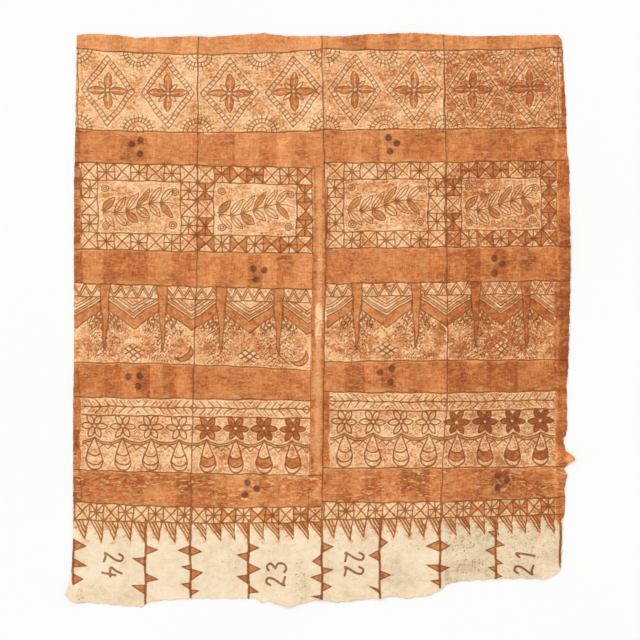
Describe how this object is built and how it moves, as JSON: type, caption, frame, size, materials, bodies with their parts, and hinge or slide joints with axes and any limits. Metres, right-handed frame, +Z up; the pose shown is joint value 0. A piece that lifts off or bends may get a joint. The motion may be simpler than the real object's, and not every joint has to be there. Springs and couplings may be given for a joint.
{
  "type": "tapa bark cloth",
  "caption": "Large sheet of felted bark cloth lying flat, with torn uneven edges, soft storage folds and a rubbed and painted brown pattern on one face.",
  "frame": {"origin": "middle of the cloth's outline, on the surface that it lies on", "axes": "+Z up out of the painted face, +Y up the cloth towards its straighter edge, +X along the printed sections"},
  "size_m": [2.089, 2.3507, 0.0124],
  "materials": {
    "bark_cloth": "matte beaten bark, rubbed and painted with brown bark dye over cream"
  },
  "bodies": {
    "root": {"bark_cloth": "bark_cloth"}
  },
  "joints": []
}
